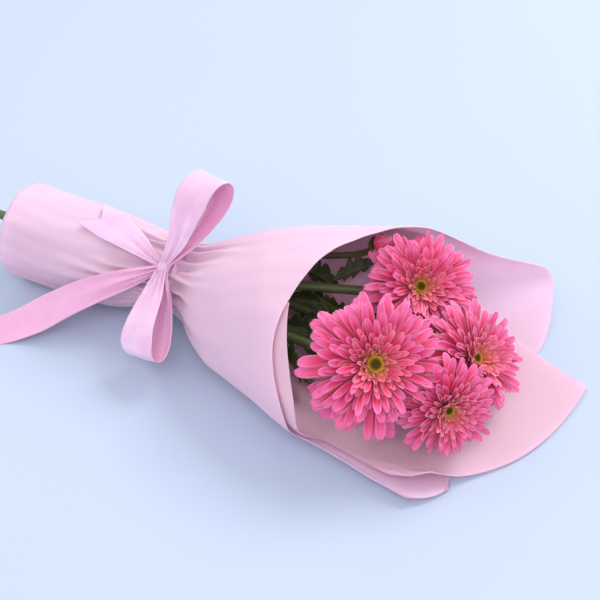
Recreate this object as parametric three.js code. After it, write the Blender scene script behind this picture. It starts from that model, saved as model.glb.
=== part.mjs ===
// A bouquet of four chrysanthemum heads and a bud, rolled in two sheets of wrapping and tied with a ribbon.
// Millimetres. X runs along the bouquet towards the flowers, Z is up, and the bouquet lies on its side.
import * as THREE from "three";
import { mergeVertices } from "three/addons/utils/BufferGeometryUtils.js";

// Driving dimensions
const handleLength = 108; // from the ribbon to the open end of the handle
const aheadLength = 260; // from the ribbon to the tip of the tongue under the flowers
const handleRadius = 31;
const waistRadius = 23;
const mouthHalfWidth = 86; // at the flowers, measured sideways
const mouthHeight = 88; // the top of the roll above the table
const sheetThickness = 0.9;
const sheetGap = 1.7; // between the two sheets round the sides
const restGap = 0.6; // between the two sheets where the inner one rests on the outer one
const ribbonWidth = 20;
const ribbonThickness = 0.8;
const seat = 0.35; // left between parts that touch
const stemRadius = 3.2;
const budStemRadius = 2.2;
const stemEndPastHandle = 16; // how far the longest stem shows past the handle
const headRadii = { front: 40, top: 32, right: 31.5, low: 27.5 };
const petalThickness = 0.8;
const leafLength = 40;
const leafWidth = 17;
const leafThickness = 0.7;

const degrees = Math.PI / 180;
const up = new THREE.Vector3(0, 0, 1);
const vec = (x, y, z) => new THREE.Vector3(x, y, z);
const lerp = THREE.MathUtils.lerp;

// Colours and finishes
const finishes = {
  wrap: { color: 0xf1cfe6, roughness: 0.85 },
  wrapInner: { color: 0xeac4dc, roughness: 0.85 },
  ribbon: { color: 0xeab4e2, roughness: 0.35 },
  petal: { color: 0xdf5088, roughness: 0.6 },
  innerPetal: { color: 0xe2736f, roughness: 0.6 },
  disc: { color: 0x8c8a28, roughness: 0.8 },
  green: { color: 0x4d6130, roughness: 0.7 },
  leaf: { color: 0x3c4c26, roughness: 0.65 },
};

const group = new THREE.Group();

function addPart(name, geometry, finish) {
  const material = new THREE.MeshStandardMaterial({ ...finishes[finish], metalness: 0 });
  const mesh = new THREE.Mesh(geometry, material);
  mesh.name = name;
  group.add(mesh);
}

// Reads a column of a table at a place between its rows, along a smooth curve that never overshoots.
function along(rows, at, column) {
  const last = rows.length - 1;
  if (at <= rows[0][0]) return rows[0][column];
  if (at >= rows[last][0]) return rows[last][column];
  let i = 0;
  while (rows[i + 1][0] < at) i += 1;
  const slope = (k) => (rows[k + 1][column] - rows[k][column]) / (rows[k + 1][0] - rows[k][0]);
  const tangent = (k) => {
    if (k === 0) return slope(0);
    if (k === last) return slope(last - 1);
    const before = slope(k - 1);
    const after = slope(k);
    return before * after <= 0 ? 0 : (2 * before * after) / (before + after);
  };
  const span = rows[i + 1][0] - rows[i][0];
  const t = (at - rows[i][0]) / span;
  const rise = rows[i + 1][column] - rows[i][column];
  const startBend = tangent(i) * span;
  const endBend = tangent(i + 1) * span;
  const cubic = startBend + endBend - 2 * rise;
  const square = 3 * rise - 2 * startBend - endBend;
  return rows[i][column] + t * (startBend + t * (square + t * cubic));
}

// Closes two matching grids of points, an outer face and an inner face, into one solid sheet.
function closedSheet(outer, inner) {
  const rows = outer.length;
  const columns = outer[0].length;
  const positions = [];
  for (const face of [outer, inner]) {
    for (const row of face) {
      for (const p of row) positions.push(p.x, p.y, p.z);
    }
  }
  const indices = [];
  const at = (face, i, j) => (face * rows + i) * columns + j;
  const quad = (a, b, c, d) => indices.push(a, b, c, a, c, d);
  for (let i = 0; i < rows - 1; i += 1) {
    for (let j = 0; j < columns - 1; j += 1) {
      quad(at(0, i, j), at(0, i, j + 1), at(0, i + 1, j + 1), at(0, i + 1, j));
      quad(at(1, i, j), at(1, i + 1, j), at(1, i + 1, j + 1), at(1, i, j + 1));
    }
    quad(at(0, i, 0), at(0, i + 1, 0), at(1, i + 1, 0), at(1, i, 0));
    const j = columns - 1;
    quad(at(0, i, j), at(1, i, j), at(1, i + 1, j), at(0, i + 1, j));
  }
  for (let j = 0; j < columns - 1; j += 1) {
    quad(at(0, 0, j), at(1, 0, j), at(1, 0, j + 1), at(0, 0, j + 1));
    const i = rows - 1;
    quad(at(0, i, j), at(0, i, j + 1), at(1, i, j + 1), at(1, i, j));
  }
  return facingOut(positions, indices);
}

function facingOut(positions, indices) {
  const geometry = new THREE.BufferGeometry();
  geometry.setAttribute("position", new THREE.Float32BufferAttribute(positions, 3));
  let volume = 0;
  const corner = (k) => vec(...positions.slice(3 * k, 3 * k + 3));
  for (let k = 0; k < indices.length; k += 3) {
    const [a, b, c] = [corner(indices[k]), corner(indices[k + 1]), corner(indices[k + 2])];
    volume += a.dot(b.cross(c));
  }
  geometry.setIndex(volume < 0 ? indices.toReversed() : indices);
  geometry.computeVertexNormals();
  return geometry;
}

// The wrapping

const side = mouthHalfWidth;
const flatten = 2; // how far the handle's round section would pass the table, which flattens its underside
const middleY = -6;
const waistX = 6; // the middle of the ribbon's turn
const waistY = middleY + 3;
const waistZ = handleRadius;
const waistFlat = 8; // half the length that stays as narrow as the waist
const handleDrop = handleRadius + flatten;

// Sections of the cone ahead of the ribbon, as shares: of the length ahead for the place along it, then the
// shift sideways in millimetres, then of the mouth's height for the middle, of its half width for the reach to
// the near side and to the far side, and of its height for the rise above the middle and the drop below it.
const coneSections = [
  [0.15, 0, 0.3, 0.53, 0.53, 0.48, 0.32],
  [0.28, -1, 0.35, 0.67, 0.67, 0.62, 0.38],
  [0.45, -2, 0.39, 0.89, 0.89, 0.68, 0.43],
  [0.56, -2, 0.4, 1.01, 1.05, 0.67, 0.44],
  [0.64, -2, 0.35, 1.1, 1.1, 0.57, 0.39],
  [0.73, -2, 0.27, 1.17, 1.22, 0.53, 0.31],
  [0.81, -2, 0.24, 1.18, 1.37, 0.5, 0.28],
  [1, -2, 0.16, 1.19, 1.5, 0.4, 0.2],
];

// Sections of the whole roll: x, middle y, middle z, reach to the near side, reach to the far side, rise, drop.
const sections = [
  [-handleLength, middleY, waistZ, handleRadius, handleRadius, handleRadius, handleDrop],
  [-0.35 * handleLength, middleY, waistZ, handleRadius, handleRadius, handleRadius - 1, handleDrop],
  [waistX - waistFlat, waistY, waistZ, waistRadius, waistRadius, waistRadius, waistRadius],
  [waistX + waistFlat, waistY, waistZ, waistRadius, waistRadius, waistRadius, waistRadius],
  ...coneSections.map(([at, shift, middle, near, far, rise, drop]) => [
    at * aheadLength,
    middleY + shift,
    middle * mouthHeight,
    near * side,
    far * side,
    rise * mouthHeight,
    drop * mouthHeight,
  ]),
];

// Where each sheet ends at the mouth: the angle round the roll (0 far side, 90 top, 180 near side, 270 table)
// and the share of the length ahead of the ribbon.
const outerMouth = [
  [-72, 0.82], [-55, 0.87], [-25, 0.845], [8, 0.805], [15, 0.73], [24, 0.65], [36, 0.57], [50, 0.52],
  [70, 0.455], [90, 0.405], [120, 0.378], [138, 0.375], [150, 0.387], [160, 0.408], [170, 0.435],
  [185, 0.452], [205, 0.465], [214, 0.51], [218, 0.62], [221, 0.735], [228, 0.78], [236, 0.805],
  [245, 0.79], [255, 0.74], [264, 0.68],
];
const innerMouth = [
  [120, 0.38], [134, 0.398], [147, 0.425], [157, 0.447], [166, 0.466], [180, 0.475], [205, 0.485],
  [219, 0.515], [223, 0.6], [225, 0.68], [228, 0.73], [232, 0.765], [238, 0.805], [246, 0.85],
  [257, 0.915], [270, 0.957], [281, 0.985], [293, 1], [299, 0.9], [306, 0.8], [320, 0.71], [345, 0.63],
  [375, 0.56], [400, 0.5],
];
const curlLift = 13; // the inner sheet's near corner curls up off the outer one
const curlX = 0.76 * aheadLength;
const curlY = -0.8 * side;
const curlReach = { along: 16, across: 10 };
const handleRows = [1, 0.8, 0.58, 0.38, 0.26, 0.14].map((s) => -s * handleLength);
const waistRows = [waistX - waistFlat, waistX + waistFlat];
const aheadRows = [0.08, 0.12, 0.2, 0.28].map((s) => s * aheadLength);
const commonRows = [...handleRows, ...waistRows, ...aheadRows];
const mouthRows = 8;
const widestAngleStep = 15; // degrees

function sectionPoint(x, angle, inset, floor) {
  const cos = Math.cos(angle * degrees);
  const sin = Math.sin(angle * degrees);
  const sideways = along(sections, x, cos < 0 ? 3 : 4) - inset;
  const upright = along(sections, x, sin < 0 ? 6 : 5) - inset;
  const y = along(sections, x, 1) + cos * sideways;
  const z = along(sections, x, 2) + sin * upright;
  return vec(x, y, Math.max(z, floor));
}

function curl(p, lift) {
  const alongEdge = (p.x - curlX) / curlReach.along;
  const across = (p.y - curlY) / curlReach.across;
  p.z += lift * Math.exp(-alongEdge * alongEdge - across * across);
  return p;
}

// One sheet of wrapping: "inset" is how far it lies inside the roll's section, "floor" the lowest its outer
// face comes, "handleEnd" where it ends behind the ribbon and "lift" how far its near corner curls up.
function wrapSheet({ mouth, inset, floor, handleEnd, lift }) {
  const angles = [];
  for (let k = 0; k < mouth.length - 1; k += 1) {
    const from = mouth[k][0];
    const to = mouth[k + 1][0];
    const steps = Math.ceil((to - from) / widestAngleStep);
    for (let s = 0; s < steps; s += 1) angles.push(lerp(from, to, s / steps));
  }
  angles.push(mouth.at(-1)[0]);
  const point = (x, angle) => curl(sectionPoint(x, angle, inset, floor), lift);
  const outer = [];
  const inner = [];
  const lastCommon = commonRows.at(-1);
  for (let i = 0; i < commonRows.length + mouthRows; i += 1) {
    const outerRow = [];
    const innerRow = [];
    for (const angle of angles) {
      const end = along(mouth, angle, 1) * aheadLength;
      const beyond = i - commonRows.length + 1;
      let x = beyond > 0 ? lerp(lastCommon, end, beyond / mouthRows) : commonRows[i];
      if (i === 0) x = -handleEnd;
      const p = point(x, angle);
      const acrossX = point(x + 0.5, angle).sub(point(x - 0.5, angle));
      const acrossAngle = point(x, angle + 0.5).sub(point(x, angle - 0.5));
      const outward = acrossAngle.cross(acrossX).normalize();
      outerRow.push(p);
      innerRow.push(p.clone().addScaledVector(outward, -sheetThickness));
    }
    outer.push(outerRow);
    inner.push(innerRow);
  }
  return closedSheet(outer, inner);
}

const outerSheet = { mouth: outerMouth, inset: 0, floor: 0, handleEnd: handleLength, lift: 0 };
const innerSheet = {
  mouth: innerMouth,
  inset: sheetThickness + sheetGap,
  floor: sheetThickness + restGap,
  handleEnd: handleLength - 5,
  lift: curlLift,
};
addPart("wrap_outer_sheet", wrapSheet(outerSheet), "wrap");
addPart("wrap_inner_sheet", wrapSheet(innerSheet), "wrapInner");

// The ribbon

// A flat strip through the places, each given with its width direction and width.
function strip(stations, thickness) {
  const outer = [];
  const inner = [];
  stations.forEach(({ at, across, width }, k) => {
    const before = stations[Math.max(k - 1, 0)].at;
    const after = stations[Math.min(k + 1, stations.length - 1)].at;
    const tangent = after.clone().sub(before).normalize();
    const flat = across.clone().addScaledVector(tangent, -across.dot(tangent)).normalize();
    const face = tangent.clone().cross(flat).normalize();
    const row = (offset) =>
      [-0.5, 0, 0.5].map((s) =>
        at.clone().addScaledVector(flat, s * width).addScaledVector(face, offset),
      );
    outer.push(row(thickness / 2));
    inner.push(row(-thickness / 2));
  });
  return closedSheet(outer, inner);
}

const waistMiddle = vec(waistX, waistY, waistZ);
const bandInnerRadius = waistRadius + seat;
const bandWidth = 0.62 * ribbonWidth;
const loopWidth = 1.3 * ribbonWidth;
const pinchedWidth = 8; // of a tail where it leaves the knot
const knotAngle = 128;
const knotSize = vec(15, 13, 9);
const knotOut = vec(0, Math.cos(knotAngle * degrees), Math.sin(knotAngle * degrees));
const knotMiddle = waistMiddle
  .clone()
  .addScaledVector(knotOut, bandInnerRadius + ribbonThickness + seat + knotSize.z / 2);

function ribbonBand() {
  const segments = 32;
  const positions = [];
  const indices = [];
  const corners = [
    [bandInnerRadius, -1], [bandInnerRadius, 1],
    [bandInnerRadius + ribbonThickness, 1], [bandInnerRadius + ribbonThickness, -1],
  ];
  for (let i = 0; i < segments; i += 1) {
    const turn = (2 * Math.PI * (i + 0.5)) / segments;
    // The corners sit outside the true circle, so that the straight sides between them clear the wrap.
    const clear = 1 / Math.cos(Math.PI / segments);
    for (const [radius, end] of corners) {
      const y = waistMiddle.y + clear * radius * Math.cos(turn);
      const z = waistMiddle.z + clear * radius * Math.sin(turn);
      positions.push(waistX + (end * bandWidth) / 2, y, z);
    }
  }
  for (let i = 0; i < segments; i += 1) {
    const here = 4 * i;
    const next = 4 * ((i + 1) % segments);
    for (let c = 0; c < 4; c += 1) {
      const d = (c + 1) % 4;
      indices.push(here + c, here + d, next + d, here + c, next + d, next + c);
    }
  }
  return facingOut(positions, indices);
}

function ribbonKnot() {
  const geometry = plain(new THREE.SphereGeometry(0.5, 14, 8));
  geometry.scale(knotSize.x, knotSize.y, knotSize.z);
  geometry.applyQuaternion(new THREE.Quaternion().setFromUnitVectors(up, knotOut));
  geometry.translate(knotMiddle.x, knotMiddle.y, knotMiddle.z);
  return geometry;
}

function plain(geometry) {
  geometry.deleteAttribute("normal");
  geometry.deleteAttribute("uv");
  const welded = mergeVertices(geometry, 1e-4);
  welded.computeVertexNormals();
  return welded;
}

// A loop of ribbon that leaves the knot, turns round at its far end and comes back. "out" is the way the loop
// points, "open" the way its two legs spread "spread" apart and "across" the width of the ribbon.
function ribbonLoop({ start, out, open, across, length, spread }) {
  const steps = 18;
  const stations = [];
  for (let i = 0; i <= steps; i += 1) {
    const t = i / steps;
    const turn = 2 * Math.PI * t;
    const reach = Math.sin(Math.PI * t) ** 1.15;
    const apart = -Math.sin(turn) * reach ** 0.3 * spread - Math.cos(Math.PI * t) * 1.1;
    const fullness = Math.min(1, 0.5 + 1.4 * reach);
    const at = start
      .clone()
      .addScaledVector(out, length * reach)
      .addScaledVector(open, apart);
    stations.push({ at, across, width: loopWidth * fullness });
  }
  return strip(stations, ribbonThickness);
}

function ribbonTail(points, acrossAtKnot, acrossAtEnd) {
  const curve = new THREE.CatmullRomCurve3(points, false, "centripetal");
  const steps = 14;
  const stations = [];
  for (let i = 0; i <= steps; i += 1) {
    const t = i / steps;
    const across = acrossAtKnot.clone().lerp(acrossAtEnd, t);
    const width = lerp(pinchedWidth, ribbonWidth, Math.min(1, 3 * t));
    stations.push({ at: curve.getPoint(t), across, width });
  }
  return strip(stations, ribbonThickness);
}

addPart("ribbon_band", ribbonBand(), "ribbon");
addPart("ribbon_knot", ribbonKnot(), "ribbon");
const upperOut = vec(0.24, 0.56, 0.78).normalize();
const upperLoop = {
  start: knotMiddle.clone().add(vec(2, 1, 0)).addScaledVector(upperOut, knotSize.y / 2 - 0.4),
  out: upperOut,
  open: vec(-0.38, -0.68, 0.5).normalize(),
  across: vec(0.9, -0.3, 0.1),
  length: 57,
  spread: 9,
};
const lowerOut = vec(0.1, -0.8, -0.58).normalize();
const lowerLoop = {
  start: knotMiddle.clone().add(vec(1, 0, 0)).addScaledVector(lowerOut, knotSize.y / 2 + 0.6),
  out: lowerOut,
  open: vec(-0.36, -0.42, 0.72).normalize(),
  across: vec(0.92, -0.2, 0.3),
  length: 49,
  spread: 9,
};
addPart("ribbon_upper_loop", ribbonLoop(upperLoop), "ribbon");
addPart("ribbon_lower_loop", ribbonLoop(lowerLoop), "ribbon");

// The front tail runs down beside the handle to the table.
const handleSide = middleY - handleRadius;
const frontTailPath = [
  knotMiddle.clone().add(vec(-knotSize.x / 2 + 1.2, -3, -3)),
  vec(-24, handleSide - 2, waistZ + 12),
  vec(-46, handleSide - 11, waistZ - 1),
  vec(-68, handleSide - 20, 14),
  vec(-88, handleSide - 30, 3),
  vec(-104, handleSide - 40, 1),
];
const frontTail = ribbonTail(frontTailPath, vec(0.2, 0.5, 0.8), vec(-0.4, 0.9, 0));
addPart("ribbon_front_tail", frontTail, "ribbon");
const handleTop = 2 * handleRadius;
const backTailPath = [
  knotMiddle.clone().add(vec(-knotSize.x / 2 + 0.9, 3.5, 4)),
  vec(-16, -15, handleTop - 1.4),
  vec(-34, -10, handleTop + 0.8),
  vec(-54, -5, handleTop + 1),
];
const backTail = ribbonTail(backTailPath, vec(0.35, 0.85, 0.35), vec(0.4, 0.9, 0));
addPart("ribbon_back_tail", backTail, "ribbon");

// Flowers

// A place in the mouth, as shares of the length ahead, of the half width and of the height.
const inMouth = (ahead, sideways, height) => vec(ahead * aheadLength, sideways * side, height * mouthHeight);

// Where each head's disc sits and the way it faces.
const heads = {
  front: { at: inMouth(0.585, -0.523, 0.682), faces: vec(0.42, -0.56, 0.72) },
  top: { at: inMouth(0.588, 0.291, 0.648), faces: vec(0.34, -0.5, 0.8) },
  right: { at: inMouth(0.750, 0.017, 0.426), faces: vec(0.72, -0.15, 0.68) },
  low: { at: inMouth(0.750, -0.477, 0.455), faces: vec(0.62, -0.66, 0.42) },
};
const bud = { at: inMouth(0.469, 0.419, 0.795), faces: vec(0.6, -0.2, 0.77), radius: 5.5, length: 14 };

function place(geometry, at, faces) {
  geometry.applyQuaternion(new THREE.Quaternion().setFromUnitVectors(up, faces.clone().normalize()));
  geometry.translate(at.x, at.y, at.z);
  return geometry;
}

// One whorl of petals joined at their feet. Its height above the disc's foot depends only on the distance from
// the middle, so that whorls with different slopes never cross.
function whorl({ footRadius, tipRadius, petals, foot, lift, droop, rings }) {
  const columns = 2 * petals;
  const height = (r) => {
    const s = (r - footRadius) / (tipRadius - footRadius);
    return foot + lift * s - droop * s * s;
  };
  const positions = [];
  for (const drop of [0, petalThickness]) {
    for (let i = 0; i <= rings; i += 1) {
      for (let j = 0; j < columns; j += 1) {
        const end = j % 2 ? tipRadius : lerp(footRadius, tipRadius, 0.72);
        const r = lerp(footRadius, end, i / rings);
        const turn = (2 * Math.PI * j) / columns;
        positions.push(r * Math.cos(turn), r * Math.sin(turn), height(r) - drop);
      }
    }
  }
  const indices = [];
  const at = (face, i, j) => (face * (rings + 1) + i) * columns + (j % columns);
  const quad = (a, b, c, d) => indices.push(a, b, c, a, c, d);
  for (let j = 0; j < columns; j += 1) {
    for (let i = 0; i < rings; i += 1) {
      quad(at(0, i, j), at(0, i + 1, j), at(0, i + 1, j + 1), at(0, i, j + 1));
      quad(at(1, i, j), at(1, i, j + 1), at(1, i + 1, j + 1), at(1, i + 1, j));
    }
    quad(at(0, rings, j), at(1, rings, j), at(1, rings, j + 1), at(0, rings, j + 1));
    quad(at(0, 0, j), at(0, 0, j + 1), at(1, 0, j + 1), at(1, 0, j));
  }
  return facingOut(positions, indices);
}

function turned(profile, segments) {
  const points = profile.map(([r, z]) => new THREE.Vector2(r, z));
  const geometry = plain(new THREE.LatheGeometry(points, segments));
  geometry.rotateX(Math.PI / 2);
  return geometry;
}

const levelStep = petalThickness + 0.4; // from one whorl's foot to the next
function flowerHead(name, { at, faces }, radius) {
  const discRadius = 0.17 * radius;
  const footRadius = discRadius + seat;
  const discTop = 3 * levelStep + 0.06 * radius;
  const calyxTop = -petalThickness - seat;
  const calyxDepth = 0.24 * radius;
  const discOutline = [
    [0, 0],
    [discRadius, 0],
    [discRadius, 0.6 * discTop],
    [0.6 * discRadius, discTop],
    [0, 0.9 * discTop],
  ];
  const calyxOutline = [
    [0, calyxTop - calyxDepth],
    [0.09 * radius, calyxTop - calyxDepth],
    [0.24 * radius, calyxTop - 0.4 * calyxDepth],
    [0.27 * radius, calyxTop],
    [0, calyxTop],
  ];
  const whorls = [
    { ring: "inner", reach: 0.45, petals: 9, foot: 2 * levelStep, lift: 0.42, droop: 0, rings: 2 },
    { ring: "middle", reach: 0.76, petals: 13, foot: levelStep, lift: 0.46, droop: 0.16, rings: 2 },
    { ring: "outer", reach: 1, petals: 16, foot: 0, lift: 0.22, droop: 0.3, rings: 3 },
  ];
  addPart(`${name}_disc`, place(turned(discOutline, 16), at, faces), "disc");
  for (const { ring, reach, petals, foot, lift, droop, rings } of whorls) {
    const shape = whorl({
      footRadius,
      tipRadius: reach * radius,
      petals,
      foot,
      lift: lift * radius,
      droop: droop * radius,
      rings,
    });
    addPart(`${name}_${ring}_petals`, place(shape, at, faces), ring === "inner" ? "innerPetal" : "petal");
  }
  addPart(`${name}_calyx`, place(turned(calyxOutline, 14), at, faces), "green");
  return at.clone().addScaledVector(faces.clone().normalize(), calyxTop - calyxDepth - seat);
}

// Stems

const stemCurves = {};
const leafFootLift = 0.5;
const neckLength = 14; // the straight stretch below a flower
// from the bundle's middle to the far sides of its stems
const bundleReach = waistRadius - 2 * sheetThickness - sheetGap - 2 * seat;

// A stem from its cut end behind the ribbon, through its place in the bundle at the waist, up to a flower.
function stem(name, { top, faces, bundleAngle, cutEnd, radius }) {
  const turn = bundleAngle * degrees;
  const bundleRadius = bundleReach - radius;
  const spot = (x, spread) =>
    vec(x, waistMiddle.y + spread * Math.cos(turn), waistMiddle.z + spread * Math.sin(turn));
  const away = faces.clone().normalize();
  const lower = top.clone().addScaledVector(away, -neckLength);
  const curve = new THREE.CatmullRomCurve3(
    [
      spot(-cutEnd, bundleRadius * 0.9),
      spot(-0.45 * handleLength, bundleRadius * 1.05),
      spot(waistX - waistFlat, bundleRadius),
      spot(waistX + waistFlat, bundleRadius),
      spot(waistX, bundleRadius).lerp(lower, 0.5).setX(lerp(waistX, lower.x, 0.55)),
      lower,
      top,
    ],
    false,
    "centripetal",
  );
  const sides = 8;
  const shape = new THREE.Shape();
  for (let i = 0; i < sides; i += 1) {
    const a = (2 * Math.PI * i) / sides;
    const [x, y] = [radius * Math.cos(a), radius * Math.sin(a)];
    if (i === 0) shape.moveTo(x, y);
    else shape.lineTo(x, y);
  }
  shape.closePath();
  const extrusion = { steps: 18, extrudePath: curve, bevelEnabled: false };
  stemCurves[name] = curve;
  addPart(`${name}_stem`, plain(new THREE.ExtrudeGeometry(shape, extrusion)), "green");
}

const cutInside = handleLength - 10;
// Each stem's place round the bundle, in degrees, and how far behind the ribbon it is cut.
const stemPlan = {
  front: [198, cutInside],
  top: [128, handleLength + stemEndPastHandle],
  right: [342, cutInside - 6],
  low: [270, cutInside + 4],
};
for (const [name, head] of Object.entries(heads)) {
  const top = flowerHead(`flower_${name}`, head, headRadii[name]);
  const [bundleAngle, cutEnd] = stemPlan[name];
  stem(`flower_${name}`, { top, faces: head.faces, bundleAngle, cutEnd, radius: stemRadius });
}

function budParts() {
  const { at, faces, radius, length } = bud;
  const calyxDepth = 0.4 * length;
  const petalOutline = [
    [0, 0],
    [0.75 * radius, 0],
    [radius, 0.35 * length],
    [0.7 * radius, 0.8 * length],
    [0, length],
  ];
  const calyxOutline = [
    [0, -seat - calyxDepth],
    [0.5 * radius, -seat - calyxDepth],
    [1.05 * radius, -seat - 0.3 * calyxDepth],
    [0.95 * radius, -seat],
    [0, -seat],
  ];
  addPart("bud_petals", place(turned(petalOutline, 12), at, faces), "innerPetal");
  addPart("bud_calyx", place(turned(calyxOutline, 12), at, faces), "green");
  return at.clone().addScaledVector(faces.clone().normalize(), -2 * seat - calyxDepth);
}
const budStem = { faces: bud.faces, bundleAngle: 54, cutEnd: cutInside - 12, radius: budStemRadius };
stem("bud", { top: budParts(), ...budStem });

// Leaves

// A lobed blade that grows from a stem: "share" is the place along the stem, "roll" the way round it that the
// leaf leaves and "bend" how far it droops by its tip.
function leaf(name, stemName, share, roll, scale, bend) {
  const curve = stemCurves[stemName];
  const at = curve.getPoint(share);
  const tangent = curve.getTangent(share);
  const sideways = tangent.clone().cross(up).normalize();
  const above = sideways.clone().cross(tangent).normalize();
  const out = sideways
    .clone()
    .multiplyScalar(Math.cos(roll * degrees))
    .addScaledVector(above, Math.sin(roll * degrees));
  const forward = tangent.clone().multiplyScalar(0.75).addScaledVector(out, 0.66).normalize();
  const across = forward.clone().cross(out).normalize();
  const face = across.clone().cross(forward).normalize();
  const length = leafLength * scale;
  const ownRadius = stemName === "bud" ? budStemRadius : stemRadius;
  const start = at.clone().addScaledVector(out, ownRadius + seat + leafFootLift);
  const halfWidths = [0.08, 0.1, 0.42, 0.3, 0.5, 0.34, 0.26, 0.05];
  const outer = [];
  const inner = [];
  halfWidths.forEach((half, k) => {
    const t = k / (halfWidths.length - 1);
    const middle = start
      .clone()
      .addScaledVector(forward, length * t)
      .addScaledVector(face, -bend * t * t * length);
    const row = (offset) =>
      [-1, 0, 1].map((s) =>
        middle
          .clone()
          .addScaledVector(across, s * half * leafWidth * scale)
          .addScaledVector(face, offset + 0.12 * Math.abs(s) * half * leafWidth * scale),
      );
    outer.push(row(leafThickness / 2));
    inner.push(row(-leafThickness / 2));
  });
  addPart(name, closedSheet(outer, inner), "leaf");
}

leaf("leaf_front_near", "flower_front", 0.66, 10, 0.8, 0.1);
leaf("leaf_front_low", "flower_front", 0.68, 300, 0.8, 0.1);
leaf("leaf_top_far", "flower_top", 0.7, 180, 0.9, 0.1);
leaf("leaf_bud_near", "bud", 0.66, 30, 0.9, 0.05);
leaf("leaf_right_far", "flower_right", 0.68, 190, 0.8, 0.1);
leaf("leaf_low_near", "flower_low", 0.6, 0, 0.9, 0.05);
leaf("leaf_right_near", "flower_right", 0.6, 210, 0.95, 0.1);
leaf("leaf_bud_low", "bud", 0.68, 270, 0.95, 0.1);
leaf("leaf_top_near", "flower_top", 0.68, 0, 0.95, 0.1);
leaf("leaf_low_far", "flower_low", 0.6, 210, 0.95, 0.1);
leaf("leaf_low_under", "flower_low", 0.64, 240, 0.75, 0.1);
leaf("leaf_front_side", "flower_front", 0.68, 0, 0.95, 0.1);
leaf("leaf_right_upper", "flower_right", 0.64, 30, 0.95, 0.1);

// The origin is under the middle of the bouquet, on the table.
const box = new THREE.Box3().setFromObject(group);
const middle = box.getCenter(vec(0, 0, 0));
for (const mesh of group.children) mesh.geometry.translate(-middle.x, -middle.y, -box.min.z);

export default group;
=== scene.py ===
"""A bouquet of four chrysanthemum heads and a bud.

It is rolled in two sheets of non-woven wrapping and tied with a satin ribbon. Each CAD node is
replaced by a finer piece that is laid along the node's own shape.
"""

import math
import random

import bmesh
import bpy
import numpy as np
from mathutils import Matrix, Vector
from mathutils.kdtree import KDTree

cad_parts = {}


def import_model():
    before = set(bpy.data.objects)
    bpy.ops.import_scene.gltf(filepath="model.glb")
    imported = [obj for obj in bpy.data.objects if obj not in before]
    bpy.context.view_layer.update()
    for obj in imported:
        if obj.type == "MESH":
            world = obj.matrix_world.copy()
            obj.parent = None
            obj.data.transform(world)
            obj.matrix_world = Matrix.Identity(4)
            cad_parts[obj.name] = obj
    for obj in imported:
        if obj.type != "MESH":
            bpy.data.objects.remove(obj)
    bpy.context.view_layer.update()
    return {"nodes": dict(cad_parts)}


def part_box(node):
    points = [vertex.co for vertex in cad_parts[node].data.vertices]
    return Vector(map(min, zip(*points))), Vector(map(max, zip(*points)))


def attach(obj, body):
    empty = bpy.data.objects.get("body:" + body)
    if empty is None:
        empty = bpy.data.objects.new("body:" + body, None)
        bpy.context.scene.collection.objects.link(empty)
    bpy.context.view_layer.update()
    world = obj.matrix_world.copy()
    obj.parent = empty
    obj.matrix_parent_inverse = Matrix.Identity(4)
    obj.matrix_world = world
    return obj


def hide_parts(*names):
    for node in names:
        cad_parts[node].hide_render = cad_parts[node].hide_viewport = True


MM = 0.001

# Camera
CAMERA_AZIMUTH = 25
CAMERA_ELEVATION = 45
CAMERA_LENS = 70
CAMERA_DISTANCE = 0.72
CAMERA_AIM = Vector((0.014, -0.0024, 0.030))

# Light and floor
WORLD_STRENGTH = 0.86
WORLD_COLOUR = (0.925, 0.94, 1.0)
LAMPS = [  # name, place, aim, size, power, colour
    ("key", (0.70, 1.20, 1.60), (0, 0, 0.03), 1.0, 31, (1.0, 0.98, 0.96)),
    ("fill", (-1.2, -0.9, 1.2), (0, 0, 0.03), 1.8, 7, (0.97, 0.97, 1.0)),
    ("front", (0.5, -1.3, 1.9), (0.05, 0, 0.03), 1.1, 18, (1.0, 0.98, 1.0)),
]
FLOOR_REACH = 30
FLOOR_COLOURS = [(0.3, (0.430, 0.505, 0.630)), (0.7, (0.438, 0.513, 0.640))]

# Meshes taken from the CAD nodes
WELD = 0.01 * MM  # points nearer than this are one point
QUAD_FACE_ANGLE = 0.6
QUAD_SHAPE_ANGLE = 1.2
SHARP_EDGE = 1.0  # radians between two faces

# Wrapping
SHEET_LEVELS = 3  # times the sheets are subdivided
SHEET_THICKNESS = 0.4 * MM
CAD_SHEET_REACH = 1.3 * MM  # the far face of a CAD sheet is nearer than this
RIM_STEP = 1.2 * MM  # an edge along the rim is longer than this, one through the thickness is not
SHARP_CORNER = math.radians(42)
GATHER_DEPTH = 1.3 * MM
GATHER_REACH = 20 * MM
FOLDS_ROUND = 17
CREASES = 22  # that fan out from the ribbon on each side of it
CREASE_DEPTH = 3.6 * MM
CREASE_WIDTH = 2.3 * MM
CREASE_WIDENING = 60 * MM  # a crease gains one CREASE_WIDTH over this distance from the ribbon
ROLL_RADIUS = 20 * MM  # the roll's radius at the ribbon, and how fast it grows away from it
ROLL_GROWTH = 0.32
SLOW_WAVE = 0.7 * MM
QUICK_WAVE = 0.35 * MM
FLAT_BELOW = 1 * MM  # folds are left out under this height and whole above the next one
FOLDED_ABOVE = 16 * MM

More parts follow.
